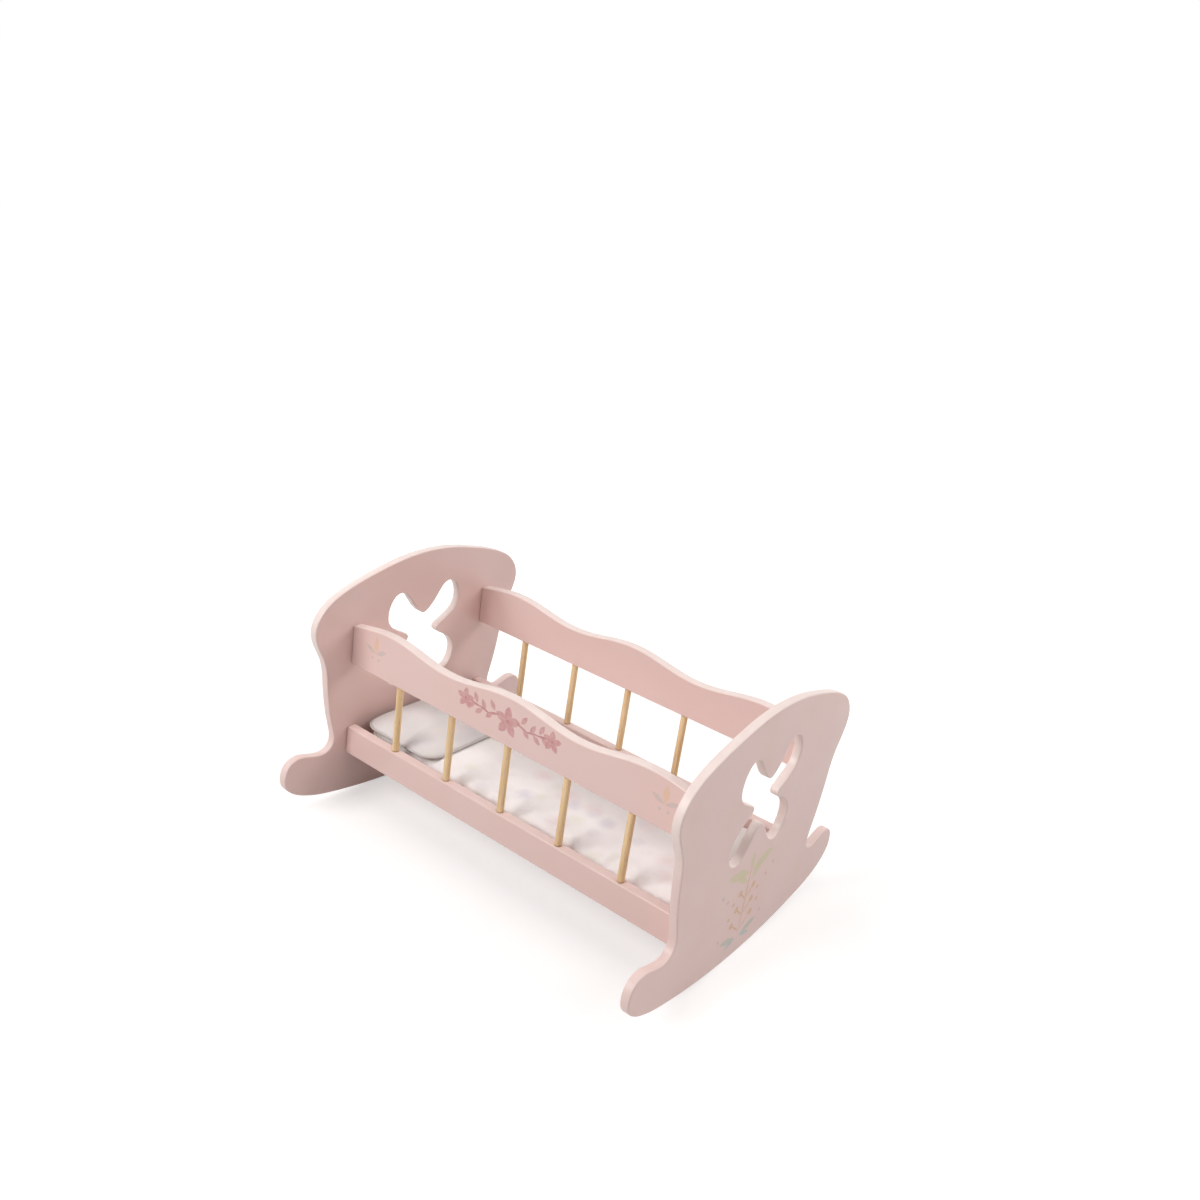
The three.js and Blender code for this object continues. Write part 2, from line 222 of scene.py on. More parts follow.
def spline(points, closed, steps):
    """Smooth line through points: cubic pieces whose tangents weigh each span by the root of
    its length.
    """
    p = np.asarray(points, float)
    if closed:
        before, start, end, after = np.roll(p, 1, 0), p, np.roll(p, -1, 0), np.roll(p, -2, 0)
    else:
        padded = np.vstack([2 * p[0] - p[1], p, 2 * p[-1] - p[-2]])
        before, start, end, after = padded[:-3], padded[1:-2], padded[2:-1], padded[3:]
    d0, d1, d2 = (np.linalg.norm(b - a, axis=1)[:, None] ** 0.5
                  for a, b in ((before, start), (start, end), (end, after)))
    leave = ((start - before) / d0 - (end - before) / (d0 + d1) + (end - start) / d1) * d1
    arrive = ((end - start) / d1 - (after - start) / (d1 + d2) + (after - end) / d2) * d1
    t = np.linspace(0, 1, steps, endpoint=False)[None, :, None]
    start, end, leave, arrive = (a[:, None, :] for a in (start, end, leave, arrive))
    line = (start + leave * t + (3 * (end - start) - 2 * leave - arrive) * t ** 2
            + (2 * (start - end) + leave + arrive) * t ** 3).reshape(-1, p.shape[1])
    return line if closed else np.vstack([line, p[-1]])


def eased(loop, reach, keep=0):
    """A closed loop with its unevenness taken out: each point becomes a weighted mean of those
    within reach of it.

    The last keep points aren't moved.
    """
    count = len(loop)
    weights = np.hanning(2 * reach + 3)[1:-1]
    weights /= weights.sum()
    wrapped = np.vstack([loop[-reach:], loop, loop[:reach]])
    mean = np.stack([np.convolve(wrapped[:, k], weights, "valid") for k in range(loop.shape[1])], 1)
    mean[count - keep:] = loop[count - keep:]
    return mean


def mirrored(points):
    """The points mirrored at the middle line, without those on it, in the opposite order."""
    p = np.asarray(points, float)
    p = p[p[:, 0] > 0]
    return np.stack([-p[:, 0], p[:, 1]], 1)[::-1]


def panel_outline(half_spread, height):
    """Outline of an end panel, anticlockwise: one smooth line over both feet and the arch, then
    the rocker's arc.
    """
    side = np.array(PANEL_SIDE_SHARES) * [half_spread, height]
    reach_angle = math.asin(ROCKER_REACH / ROCKER_RADIUS)
    end = np.array([ROCKER_REACH, ROCKER_RADIUS * (1 - math.cos(reach_angle))])
    under = end + np.array(FOOT_UNDER_SHARES) * (side[-1] - end)
    side = np.vstack([side, under])
    over = np.vstack([end, side[::-1], mirrored(side)[::-1], end * [-1, 1]])
    upper = spline(over, False, OUTLINE_STEPS)
    angle = np.linspace(-reach_angle, reach_angle, ROCKER_STEPS + 1)[1:-1]
    arc = ROCKER_RADIUS * np.stack([np.sin(angle), 1 - np.cos(angle)], 1)
    return eased(np.vstack([upper, arc]), reach=4, keep=len(arc))


def butterfly_outline(height):
    """Outline of the butterfly, clockwise because it is a hole: one smooth line through its
    shares of half width and height, and through their mirror images.
    """
    foot = height - BUTTERFLY_DROP - BUTTERFLY_HEIGHT
    half = np.array(BUTTERFLY_SHARES) * [BUTTERFLY_HALF_WIDTH, BUTTERFLY_HEIGHT] + [0, foot]
    return eased(spline(np.vstack([half, mirrored(half)]), True, OUTLINE_STEPS), reach=3)


def rounded_corners(points, radius):
    """Closed polygon whose corners become arcs that touch both of their sides at about the radius
    from the corner.
    """
    p = np.asarray(points, float)
    to_last, to_next = np.roll(p, 1, 0) - p, np.roll(p, -1, 0) - p
    start = p + radius * to_last / np.linalg.norm(to_last, axis=1)[:, None]
    end = p + radius * to_next / np.linalg.norm(to_next, axis=1)[:, None]
    t = np.linspace(0, 1, CORNER_STEPS + 1)[None, :, None]
    arcs = (1 - t) ** 2 * start[:, None] + 2 * t * (1 - t) * p[:, None] + t ** 2 * end[:, None]
    return arcs.reshape(-1, 2)


def wave_outline(low, high, reach):
    """Outline of a top rail: straight below, above a cosine wave with a crest in the middle, and
    eased corners.
    """
    middle = high - WAVE_HALF_HEIGHT
    across = np.linspace(reach - CORNER, CORNER - reach, WAVE_STEPS)
    wave = WAVE_HALF_HEIGHT * np.cos(2 * math.pi * across / WAVE_LENGTH)
    top = np.stack([across, middle + wave], 1)
    drop = np.array([0, -CORNER])
    right, left = top[0] + [CORNER, 0] + drop, top[-1] + [-CORNER, 0] + drop
    corners = rounded_corners([[-reach, low], [reach, low], right, left], RAIL_CORNER)
    foot = corners[:2 * (CORNER_STEPS + 1)]
    return np.vstack([foot, right, top, left])


def plate_outline(low, high, reach, corner):
    """Outline of a plain plate: a rectangle from low to high, with rounded corners."""
    return rounded_corners([[-reach, low], [reach, low], [reach, high], [-reach, high]], corner)


# Meshes

def make_piece(name, points, faces, smooth, body, material, replaced=(), attributes=()):
    """A mesh object at the origin that rides on a body and stands for the CAD nodes that it
    replaces.
    """
    mesh = bpy.data.meshes.new(name)
    mesh.from_pydata(np.asarray(points).tolist(), [], faces)
    mesh.polygons.foreach_set("use_smooth", smooth)
    for key, values in attributes:
        attribute = mesh.attributes.new(key, "FLOAT", "POINT")
        attribute.data.foreach_set("value", np.asarray(values, np.float32))
    mesh.materials.append(material)
    mesh.update()
    piece = bpy.data.objects.new(name, mesh)
    bpy.context.scene.collection.objects.link(piece)
    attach(piece, body)
    if replaced:
        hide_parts(*replaced)


def inward(loop):
    """How each point of a loop moves when it steps in by 1, to its left, where the wood is."""
    ahead = np.roll(loop, -1, 0) - loop
    ahead /= np.linalg.norm(ahead, axis=1)[:, None]
    behind = np.roll(ahead, 1, 0)
    left_ahead, left_behind = (np.stack([-d[:, 1], d[:, 0]], 1) for d in (ahead, behind))
    return (left_ahead + left_behind) / (1 + (left_ahead * left_behind).sum(1))[:, None]


def board(loops, thickness, edge, place):
    """Points, faces, smooth flags and rim values of a flat board with rounded edges.

    loops lie in the board's plane, the first round it and the others round its holes, wood on
    their left. On each face a loop runs through a quarter circle: at angle a it stands in by
    edge(1 - cos a) and rises by edge sin a. The rim value cos a is 1 on the walls and falls to 0
    at the faces.
    """
    angle = np.linspace(0, math.pi / 2, ROUND_STEPS + 1)
    step_in = np.concatenate([edge * (1 - np.cos(angle[::-1])), edge * (1 - np.cos(angle))])
    rise = thickness / 2 - edge + edge * np.sin(angle)
    height = np.concatenate([-rise[::-1], rise])
    rim = np.cos(np.concatenate([angle[::-1], angle]))
    points, faces, rims, caps, first = [], [], [], ([], []), 0
    for loop in loops:
        count, rings = len(loop), len(height)
        flat = loop[None] + step_in[:, None, None] * inward(loop)[None]
        tall = np.broadcast_to(height[:, None, None], (rings, count, 1))
        points.append(np.concatenate([flat, tall], 2).reshape(-1, 3))
        rims.append(np.repeat(rim, count))
        index = first + np.arange(rings * count).reshape(rings, count)
        ahead = np.roll(index, -1, 1)
        quads = np.stack([index[:-1], ahead[:-1], ahead[1:], index[1:]], 2).reshape(-1, 4)
        faces += quads.tolist()
        caps[0].append(index[0])
        caps[1].append(index[-1])
        first += rings * count
    points, walls = np.concatenate(points), len(faces)
    for cap, upward in zip(caps, (False, True)):
        corners = np.concatenate(cap)
        lines = [[Vector((*points[i][:2], 0)) for i in loop] for loop in cap]
        triangles = corners[np.array(tessellate_polygon(lines))]
        a, b, c = (points[triangles[:, k]][:, :2] for k in range(3))
        turns_left = (b - a)[:, 0] * (c - a)[:, 1] > (b - a)[:, 1] * (c - a)[:, 0]
        flip = turns_left != upward
        triangles[flip] = triangles[flip][:, ::-1]
        faces += triangles.tolist()
    smooth = [True] * walls + [False] * (len(faces) - walls)
    return place(points), faces, smooth, np.concatenate(rims)


def across_at(x):
    """Stands a board drawn flat across the cradle, with its middle at x."""
    return lambda points: points[:, [2, 0, 1]] + [x, 0, 0]


def along_at(y):
    """Stands a board drawn flat along the cradle, with its middle at y."""
    return lambda points: points[:, [0, 2, 1]] * [1, -1, 1] + [0, y, 0]


def flat_at(z):
    """Lays a board drawn flat level, with its middle at height z."""
    return lambda points: points + [0, 0, z]


def node_span(node):
    """Lowest corner, highest corner and middle of a CAD node."""
    low, high = (np.array(corner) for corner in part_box(node))
    return low, high, (low + high) / 2


def painted_board(node, material, loops, thickness, edge, place):
    """Makes a painted board from its loops, for the CAD node whose name it takes."""
    points, faces, smooth, rim = board(loops, thickness, edge, place)
    make_piece(f"{node}_painted", points, faces, smooth, "frame", material,
               [node], [("rim", rim)])


def end_panel(node, material):
    """A shaped end board with the butterfly cut through it, as thick as its CAD node."""
    low, high, middle = node_span(node)
    loops = [panel_outline(high[1], high[2]), butterfly_outline(high[2])]
    painted_board(node, material, loops, high[0] - low[0], PANEL_EDGE, across_at(middle[0]))


def rail(node, outline, material):
    """A board on edge along the cradle, as thick as its CAD node."""
    low, high, middle = node_span(node)
    painted_board(node, material, [outline], high[1] - low[1], RAIL_EDGE, along_at(middle[1]))


def top_rail(node, material):
    """A rail with a waved upper edge, as long and as high as its CAD node."""
    low, high, _ = node_span(node)
    rail(node, wave_outline(low[2], high[2], high[0]), material)


def bottom_rail(node, material):
    """A plain rail, as long and as high as its CAD node."""
    low, high, _ = node_span(node)
    rail(node, plate_outline(low[2], high[2], high[0], RAIL_CORNER), material)


def base_board(node, material):
    """The thin level board that carries the mattress."""
    low, high, middle = node_span(node)
    outline = plate_outline(low[1], high[1], high[0], CORNER)
    painted_board(node, material, [outline], high[2] - low[2], BASE_EDGE, flat_at(middle[2]))


def spindle(node, material):
    """A rod turned round its own line: radius over height, with a quarter-round shoulder at
    either end.
    """
    low, high, middle = node_span(node)
    radius = (high[0] - low[0]) / 2
    turn = np.linspace(0, math.pi / 2, ROUND_STEPS)
    shoulder_r = radius - ROD_SHOULDER * (1 - np.sin(turn))
    shoulder_z = ROD_SHOULDER * (1 - np.cos(turn))
    radii = np.concatenate([shoulder_r, shoulder_r[::-1]])
    heights = np.concatenate([low[2] + shoulder_z, (high[2] - shoulder_z)[::-1]])
    angle = np.linspace(0, 2 * math.pi, ROD_SIDES, endpoint=False)
    ring = np.stack([np.cos(angle), np.sin(angle), np.zeros(ROD_SIDES)], 1)
    circles = radii[:, None, None] * ring[None] + heights[:, None, None] * [0, 0, 1]
    points = (circles + middle * [1, 1, 0]).reshape(-1, 3)
    index = np.arange(len(radii) * ROD_SIDES).reshape(len(radii), ROD_SIDES)
    ahead = np.roll(index, -1, 1)
    quads = np.stack([index[:-1], ahead[:-1], ahead[1:], index[1:]], 2).reshape(-1, 4)
    faces = [*quads.tolist(), index[0][::-1].tolist(), index[-1].tolist()]
    smooth = [True] * len(quads) + [False, False]
    make_piece(f"{node}_turned", points, faces, smooth, "frame", material, [node])


# Soft pieces

def pad_rings(foot, half, draw_in, profile):
    """A closed pad as rings over the middle of its foot: profile gives each ring's inset and
    height, lowest first.

    A ring is a rounded rectangle of half lengths a and b whose point at angle t is pulled onto
    the superellipse |x/a|^n + |y/b|^n = 1, and its sides bow in by draw_in(1 - s^2), s being the
    place along the side.
    """
    t = np.linspace(0, 2 * math.pi, PAD_SIDES, endpoint=False)
    power = 2 / (2 + min(half[:2]) / PAD_CORNER)
    rings = []
    for inset, height in profile:
        a, b = half[0] - inset, half[1] - inset
        x = np.sign(np.cos(t)) * np.abs(np.cos(t)) ** power
        y = np.sign(np.sin(t)) * np.abs(np.sin(t)) ** power
        x, y = x * (a - draw_in * (1 - y * y)), y * (b - draw_in * (1 - x * x))
        rings.append(np.stack([x, y, np.full(PAD_SIDES, height)], 1) + foot)
    return np.array(rings)


def pad_mesh(name, rings):
    """A temporary closed mesh from rings, with a middle point below and one above."""
    count, sides = rings.shape[:2]
    points = np.vstack([rings.reshape(-1, 3), rings[0].mean(0), rings[-1].mean(0)])
    index = np.arange(count * sides).reshape(count, sides)
    ahead = np.roll(index, -1, 1)
    quads = np.stack([index[:-1], ahead[:-1], ahead[1:], index[1:]], 2).reshape(-1, 4)
    below, above = count * sides, count * sides + 1
    fans = [[below, b, a] for a, b in zip(index[0].tolist(), ahead[0].tolist())]
    fans += [[above, a, b] for a, b in zip(index[-1].tolist(), ahead[-1].tolist())]
    mesh = bpy.data.meshes.new(name)
    mesh.from_pydata(points.tolist(), [], quads.tolist() + fans)
    piece = bpy.data.objects.new(name, mesh)
    bpy.context.scene.collection.objects.link(piece)
    return piece


def coordinates(mesh):
    """A mesh's points as rows of x, y and z."""
    flat = np.empty(len(mesh.vertices) * 3)
    mesh.vertices.foreach_get("co", flat)
    return flat.reshape(-1, 3)


def evaluated_copy(piece):
    """A new mesh of the piece as its modifiers leave it."""
    depsgraph = bpy.context.evaluated_depsgraph_get()
    return bpy.data.meshes.new_from_object(piece.evaluated_get(depsgraph))


def even_mesh(piece, square):
    """Gives the piece one even mesh of small squares."""
    remesh = piece.modifiers.new("even", "REMESH")
    remesh.mode = "VOXEL"
    remesh.voxel_size = square
    mesh = evaluated_copy(piece)
    piece.modifiers.clear()
    piece.data = mesh


def near_line(points, line, reach):
    """Share from 1 on a closed line to 0 at reach from it, for every point."""
    nearest = np.full(len(points), np.inf)
    for place in line:
        nearest = np.minimum(nearest, np.linalg.norm(points - place, axis=1))
    return np.clip(1 - nearest / reach, 0, 1)


def inflate(piece, seam, seam_reach, growth, cap):
    """Blows the cloth up from inside while its seam holds it, then caps how far each point has
    moved.
    """
    rest = coordinates(piece.data)
    pins = near_line(rest, seam, seam_reach)
    group = piece.vertex_groups.new(name="seam")
    for i in np.flatnonzero(pins > 0):
        group.add([int(i)], float(pins[i]), "REPLACE")
    cloth = piece.modifiers.new("cloth", "CLOTH")
    settings = cloth.settings
    settings.quality = 6
    settings.mass = 0.2
    settings.tension_stiffness = settings.compression_stiffness = 12
    settings.shear_stiffness = 6
    settings.bending_stiffness = 0.3
    settings.use_pressure = True
    settings.uniform_pressure_force = CLOTH_PRESSURE
    settings.shrink_min = -growth
    settings.vertex_group_mass = "seam"
    settings.effector_weights.gravity = 0
    cloth.collision_settings.use_collision = False
    scene = bpy.context.scene
    for number in range(1, CLOTH_FRAMES + 1):
        scene.frame_set(number)
    moved = coordinates(evaluated_copy(piece)) - rest
    scene.frame_set(1)
    piece.modifiers.clear()
    far = np.linalg.norm(moved, axis=1)[:, None]
    return rest + moved * np.minimum(1, cap / np.maximum(far, 1e-9))


def along_and_aside(line):
    """Unit directions at every point of a closed line: along it, and level and square to it,
    outwards.
    """
    ahead = np.roll(line, -1, 0) - np.roll(line, 1, 0)
    ahead /= np.linalg.norm(ahead, axis=1)[:, None]
    side = np.cross(ahead, [0, 0, 1])
    return ahead, side / np.linalg.norm(side, axis=1)[:, None]


def laid_on(line, points, reach):
    """A closed line moved onto the cloth: each place becomes the mean of the cloth's points,
    weighed by exp(-(d / reach)^2) for a point at distance d, then it is eased and stands out by
    the piping's stand.
    """
    gaps = np.linalg.norm(line[:, None] - points[None], axis=2)
    weights = np.exp(-(gaps / reach) ** 2)
    mean = eased(weights @ points / weights.sum(1)[:, None], reach=2)
    return mean + PIPING_STAND * along_and_aside(mean)[1]


def piping_tube(line):
    """Points and quads of a closed tube: a circle carried along a closed line, square to it."""
    ahead, side = along_and_aside(line)
    up = np.cross(side, ahead)
    t = np.linspace(0, 2 * math.pi, PIPING_SIDES, endpoint=False)[None, :, None]
    circles = PIPING_RADIUS * (np.cos(t) * side[:, None] + np.sin(t) * up[:, None])
    points = line[:, None] + circles
    index = np.arange(len(line) * PIPING_SIDES).reshape(len(line), PIPING_SIDES)
    ring, on = np.roll(index, -1, 0), np.roll(index, -1, 1)
    quads = np.stack([index, ring, np.roll(ring, -1, 1), on], 2).reshape(-1, 4)
    return points.reshape(-1, 3), quads.tolist()


def soft_pad(node, rings, seam, cloth, material, trim):
    """A padded piece and its piping: even mesh, cloth under pressure, kept inside its CAD node's
    box.
    """
    low, high, _ = node_span(node)
    square, growth, cap = cloth
    piece = pad_mesh(f"{node}_cover", rings)
    even_mesh(piece, square)
    points = coordinates(piece.data)
    points = inflate(piece, seam, SEAM_HOLD * square, growth, cap)
    points = np.clip(points, low, high)
    piece.data.vertices.foreach_set("co", points.ravel())
    piece.data.update()
    piece.data.materials.clear()
    piece.data.materials.append(material)
    piece.data.polygons.foreach_set("use_smooth", [True] * len(piece.data.polygons))
    subdivision = piece.modifiers.new("smooth", "SUBSURF")
    subdivision.levels = subdivision.render_levels = 1
    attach(piece, node)
    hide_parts(node)
    tube, quads = piping_tube(laid_on(seam, points, PIPING_CLING * square))
    make_piece(f"{node}_piping", tube, quads, [True] * len(quads), node, trim)


def pad_room(node):
    """Middle of a pad's foot, its half sides and its thickness, from its CAD node."""
    low, high, middle = node_span(node)
    return np.array([middle[0], middle[1], low[2]]), (high - low) / 2, high[2] - low[2]


def mattress(material, trim):
    """Round its side, at angle a from -90 to 90 degrees, a ring stands in by room + side(1 - cos a)
    at the share seam + side rise sin a of the thickness. Over it the crown's rings stand in by
    their shares of its reach, and climb from its foot by those shares of its rise.
    """
    foot, half, thickness = pad_room("mattress")
    turn = np.linspace(-math.pi / 2, math.pi / 2, MATTRESS_SIDE_RINGS)
    side = [(MATTRESS_SIDE * (1 - math.cos(a)) + MATTRESS_ROOM,
             (MATTRESS_SEAM_SHARE + MATTRESS_SIDE_RISE_SHARE * math.sin(a)) * thickness)
            for a in turn]
    crown = [(MATTRESS_SIDE + share * half[1] * MATTRESS_CROWN_REACH_SHARE,
              (MATTRESS_CROWN_FOOT_SHARE + MATTRESS_CROWN_RISE_SHARE * share) * thickness)
             for share in MATTRESS_CROWN_SHARES]
    rings = pad_rings(foot, half, MATTRESS_DRAW_IN, side + crown)
    seam = rings[MATTRESS_SIDE_RINGS // 2]
    soft_pad("mattress", rings, seam, MATTRESS_CLOTH, material, trim)


def pillow(material, trim):
    """Its rings follow their table from the underside past the seam to the crown."""
    foot, half, thickness = pad_room("pillow")
    profile = [(half[0] * inset, rise * thickness) for inset, rise in PILLOW_RINGS]
    rings = pad_rings(foot, half, PILLOW_DRAW_IN, profile)
    seam = rings[PILLOW_SEAM_RING]
    soft_pad("pillow", rings, seam, PILLOW_CLOTH, material, trim)


# Materials

class Shader:
    """A material's node tree, with one call for each node."""

    def __init__(self, name):
        self.material = bpy.data.materials.new(name)
        self.material.use_nodes = True
        self.tree = self.material.node_tree
        self.surface = self.tree.nodes["Principled BSDF"]
        self.place = self.node("TexCoord").outputs["Object"]

    def node(self, kind, inputs=None, **settings):
        """Adds a node with its settings and feeds its inputs."""
        made = self.tree.nodes.new(f"ShaderNode{kind}")
        for key, value in settings.items():
            setattr(made, key, value)
        for key, value in (inputs or {}).items():
            self.set(made.inputs[key], value)
        return made

    def set(self, socket, value):
        """Links a socket to another one, or gives it a plain value."""
        if isinstance(value, bpy.types.NodeSocket):
            self.tree.links.new(value, socket)
        else:
            socket.default_value = value

    def math(self, operation, a, b=0.0):
        """The result of one operation on one or two values."""
        return self.node("Math", {0: a, 1: b}, operation=operation).outputs[0]

    def spread(self, value, low, high, to_low=0.0, to_high=1.0):
        """A value mapped from one range to another and kept inside it."""
        return self.node("MapRange", {0: value, 1: low, 2: high, 3: to_low, 4: to_high}).outputs[0]

    def noise(self, scale, detail, stretch=(1, 1, 1)):
        """Noise through the piece, drawn out along the axes whose stretch is the smallest."""
        place = self.node("Mapping", {"Vector": self.place, "Scale": stretch}).outputs[0]
        inputs = {"Vector": place, "Scale": scale, "Detail": detail}
        return self.node("TexNoise", inputs).outputs["Fac"]

    def mix(self, share, a, b, blend="MIX"):
        """Colour a with a share of colour b blended in."""
        inputs = {0: share, 6: a, 7: b}
        return self.node("Mix", inputs, data_type="RGBA", blend_type=blend).outputs[2]

    def bump(self, height, strength, distance, under=None):
        """The surface's normal bent by a height, on top of another bump where there is one."""
        inputs = {"Height": height, "Strength": strength, "Distance": distance}
        if under is not None:
            inputs["Normal"] = under
        return self.node("Bump", inputs).outputs[0]

    def finish(self, **inputs):
        """Feeds the surface's inputs, whose blanks are written as underscores."""
        for key, value in inputs.items():
            self.set(self.surface.inputs[key.replace("_", " ")], value)
        return self.material


def ink_shape_group():
    """Node group: 1 inside the shape u^2 + |v|^power < 1, 0 outside it, for a place (u, v).

    At power 1 the shape is a pointed leaf, and at power 2 a round dot.
    """
    group = bpy.data.node_groups.new("ink_shape", "ShaderNodeTree")
    group.interface.new_socket("Place", in_out="INPUT", socket_type="NodeSocketVector")
    group.interface.new_socket("Power", in_out="INPUT", socket_type="NodeSocketFloat")
    group.interface.new_socket("Inside", in_out="OUTPUT", socket_type="NodeSocketFloat")
    nodes, links = group.nodes, group.links
    start, end = nodes.new("NodeGroupInput"), nodes.new("NodeGroupOutput")
    parts = nodes.new("ShaderNodeSeparateXYZ")
    square, width, bent, over, inside = (nodes.new("ShaderNodeMath") for _ in range(5))
    square.operation, width.operation, bent.operation = "MULTIPLY", "ABSOLUTE", "POWER"
    over.operation, inside.operation = "ADD", "SUBTRACT"
    soft = nodes.new("ShaderNodeMapRange")
    soft.inputs["From Min"].default_value = 0.0
    soft.inputs["From Max"].default_value = INK_FADE
    inside.inputs[0].default_value = 1.0
    links.new(start.outputs[0], parts.inputs[0])
    links.new(parts.outputs[0], square.inputs[0])
    links.new(parts.outputs[0], square.inputs[1])
    links.new(parts.outputs[1], width.inputs[0])
    links.new(width.outputs[0], bent.inputs[0])
    links.new(start.outputs[1], bent.inputs[1])
    links.new(square.outputs[0], over.inputs[0])
    links.new(bent.outputs[0], over.inputs[1])
    links.new(over.outputs[0], inside.inputs[1])
    links.new(inside.outputs[0], soft.inputs["Value"])
    links.new(soft.outputs[0], end.inputs[0])
    return group


INK_SHAPE = ink_shape_group()
LEAF, DOT = 1.0, 2.0


def pointing(turn):
    """Unit direction in the printed face at so many degrees from level, outwards and up."""
    angle = math.radians(turn)
    return np.array([math.cos(angle), math.sin(angle)]), angle


def stroke(foot, turn, reach, width, tint):
    """An ink stroke shaped as a leaf: its middle, angle, half length, half width, power and colour.

    It starts at its foot and has its half length, reach, and half width in millimetres.
    """
    way, angle = pointing(turn)
    return (*(np.array(foot) * MM + reach * MM * way), angle, reach * MM, width * MM, LEAF, tint)


def dot(across, up, radius, tint):
    """A round dot of ink, in the terms of a stroke."""
    return across * MM, up * MM, 0.0, radius * MM, radius * MM, DOT, tint


def blossom(across, up, petal, tint, heart_tint, turns):
    """A flower as strokes: a petal at each of the turns round a small heart."""
    petals = [stroke((across, up), turn, petal, 0.62 * petal, tint) for turn in turns]
    return [*petals, dot(across, up, 0.26 * petal, heart_tint)]


def twig():
    """Half of the ornament under a butterfly: an upright twig, ochre berries below and green
    leaves above.
    """
    strokes = [stroke((0, 22), 90, 50, 1.5, OCHRE)]
    for up, turn, reach in ((30, 38, 12), (50, 42, 10), (70, 44, 9)):
        tip = np.array([0, up]) + 2 * reach * pointing(turn)[0]
        strokes += [stroke((0, up), turn, reach, 1.4, OCHRE), dot(*tip, 4.2, OCHRE)]
    strokes += [dot(across, up, 2.6, OCHRE) for across, up in ((28, 57), (24, 74))]
    for up, turn, reach in ((92, 34, 14), (104, 14, 23)):
        strokes.append(stroke((2, up), turn, reach, 0.3 * reach, LEAF_YELLOW))
    strokes.append(stroke((0, 106), 90, 12, 4.6, LEAF_YELLOW))
    for turn, reach, tint in ((14, 17, SAGE), (-14, 11, SAGE_BLUE)):
        strokes.append(stroke((4, 22), turn, reach, 0.26 * reach, tint))
    return strokes + [dot(42, 36, 2.2, LILAC), dot(38, 84, 2.2, BLOSSOM), dot(50, 94, 2.2, LILAC)]


def garland(up):
    """Half of the ornament in the middle of a top rail: a flower, a leafy vine and a smaller
    flower at its end.
    """
    strokes = blossom(0, up, 9, ROSE, ROSE_DEEP, (90, 18, -54))
    for across, lift, turn in ((19, 4, -16), (33, -1, 12), (46, 1, 10)):
        strokes.append(stroke((across - 8, up + lift), turn, 8.5, 1.6, ROSE_DEEP))
    leaves = ((18, 5, 55), (21, 2, -46), (31, 0, 62), (35, 0, -38), (43, 4, 66), (46, 2, -32))
    for across, lift, turn in leaves:
        strokes.append(stroke((across, up + lift), turn, 6.6, 3.2, ROSE))
    return strokes + blossom(60, up + 3, 6.4, ROSE, ROSE_DEEP, (90, 18, -54, -126, 162))


def sprig(across, up):
    """The small faint ornament near each end of a top rail: a tall leaf between two low ones,
    over two dots.
    """
    strokes = [stroke((across, up), 90, 11, 4, OCHRE_PALE)]
    strokes += [stroke((across, up), turn, 9, 3, SAGE_PALE) for turn in (24, 156)]
    return strokes + [dot(across + shift, up - 6, 1.8, SAGE_PALE) for shift in (-5, 5)]


def printed(shader, base, strokes, across_axis, depth_axis, outer):
    """Lays a thin print over the paint, mirrored at the middle: each stroke tints the colour,
    unevenly, as ink does.

    Only the faces that lie further out than outer along the depth axis are printed.
    """
    parts = shader.node("SeparateXYZ", {0: shader.place})
    mirrored_across = shader.math("ABSOLUTE", parts.outputs[across_axis])
    flat = shader.node("CombineXYZ", {"X": mirrored_across, "Y": parts.outputs["Z"]}).outputs[0]
    outside = shader.math("GREATER_THAN", shader.math("ABSOLUTE", parts.outputs[depth_axis]), outer)
    grain = shader.spread(shader.noise(220, 4), 0.3, 0.7, 0.6, 0.95)
    ink = shader.math("MULTIPLY", outside, grain)
    colour = base
    for across, up, angle, half_length, half_width, power, tint in strokes:
        inputs = {"Vector": flat, "Location": (across, up, 0), "Rotation": (0, 0, angle),
                  "Scale": (half_length, half_width, 1)}
        place = shader.node("Mapping", inputs, vector_type="TEXTURE").outputs[0]
        shape = shader.node("Group", node_tree=INK_SHAPE)
        shader.set(shape.inputs[0], place)
        shader.set(shape.inputs[1], power)
        colour = shader.mix(shader.math("MULTIPLY", shape.outputs[0], ink), colour, tint)
    return colour


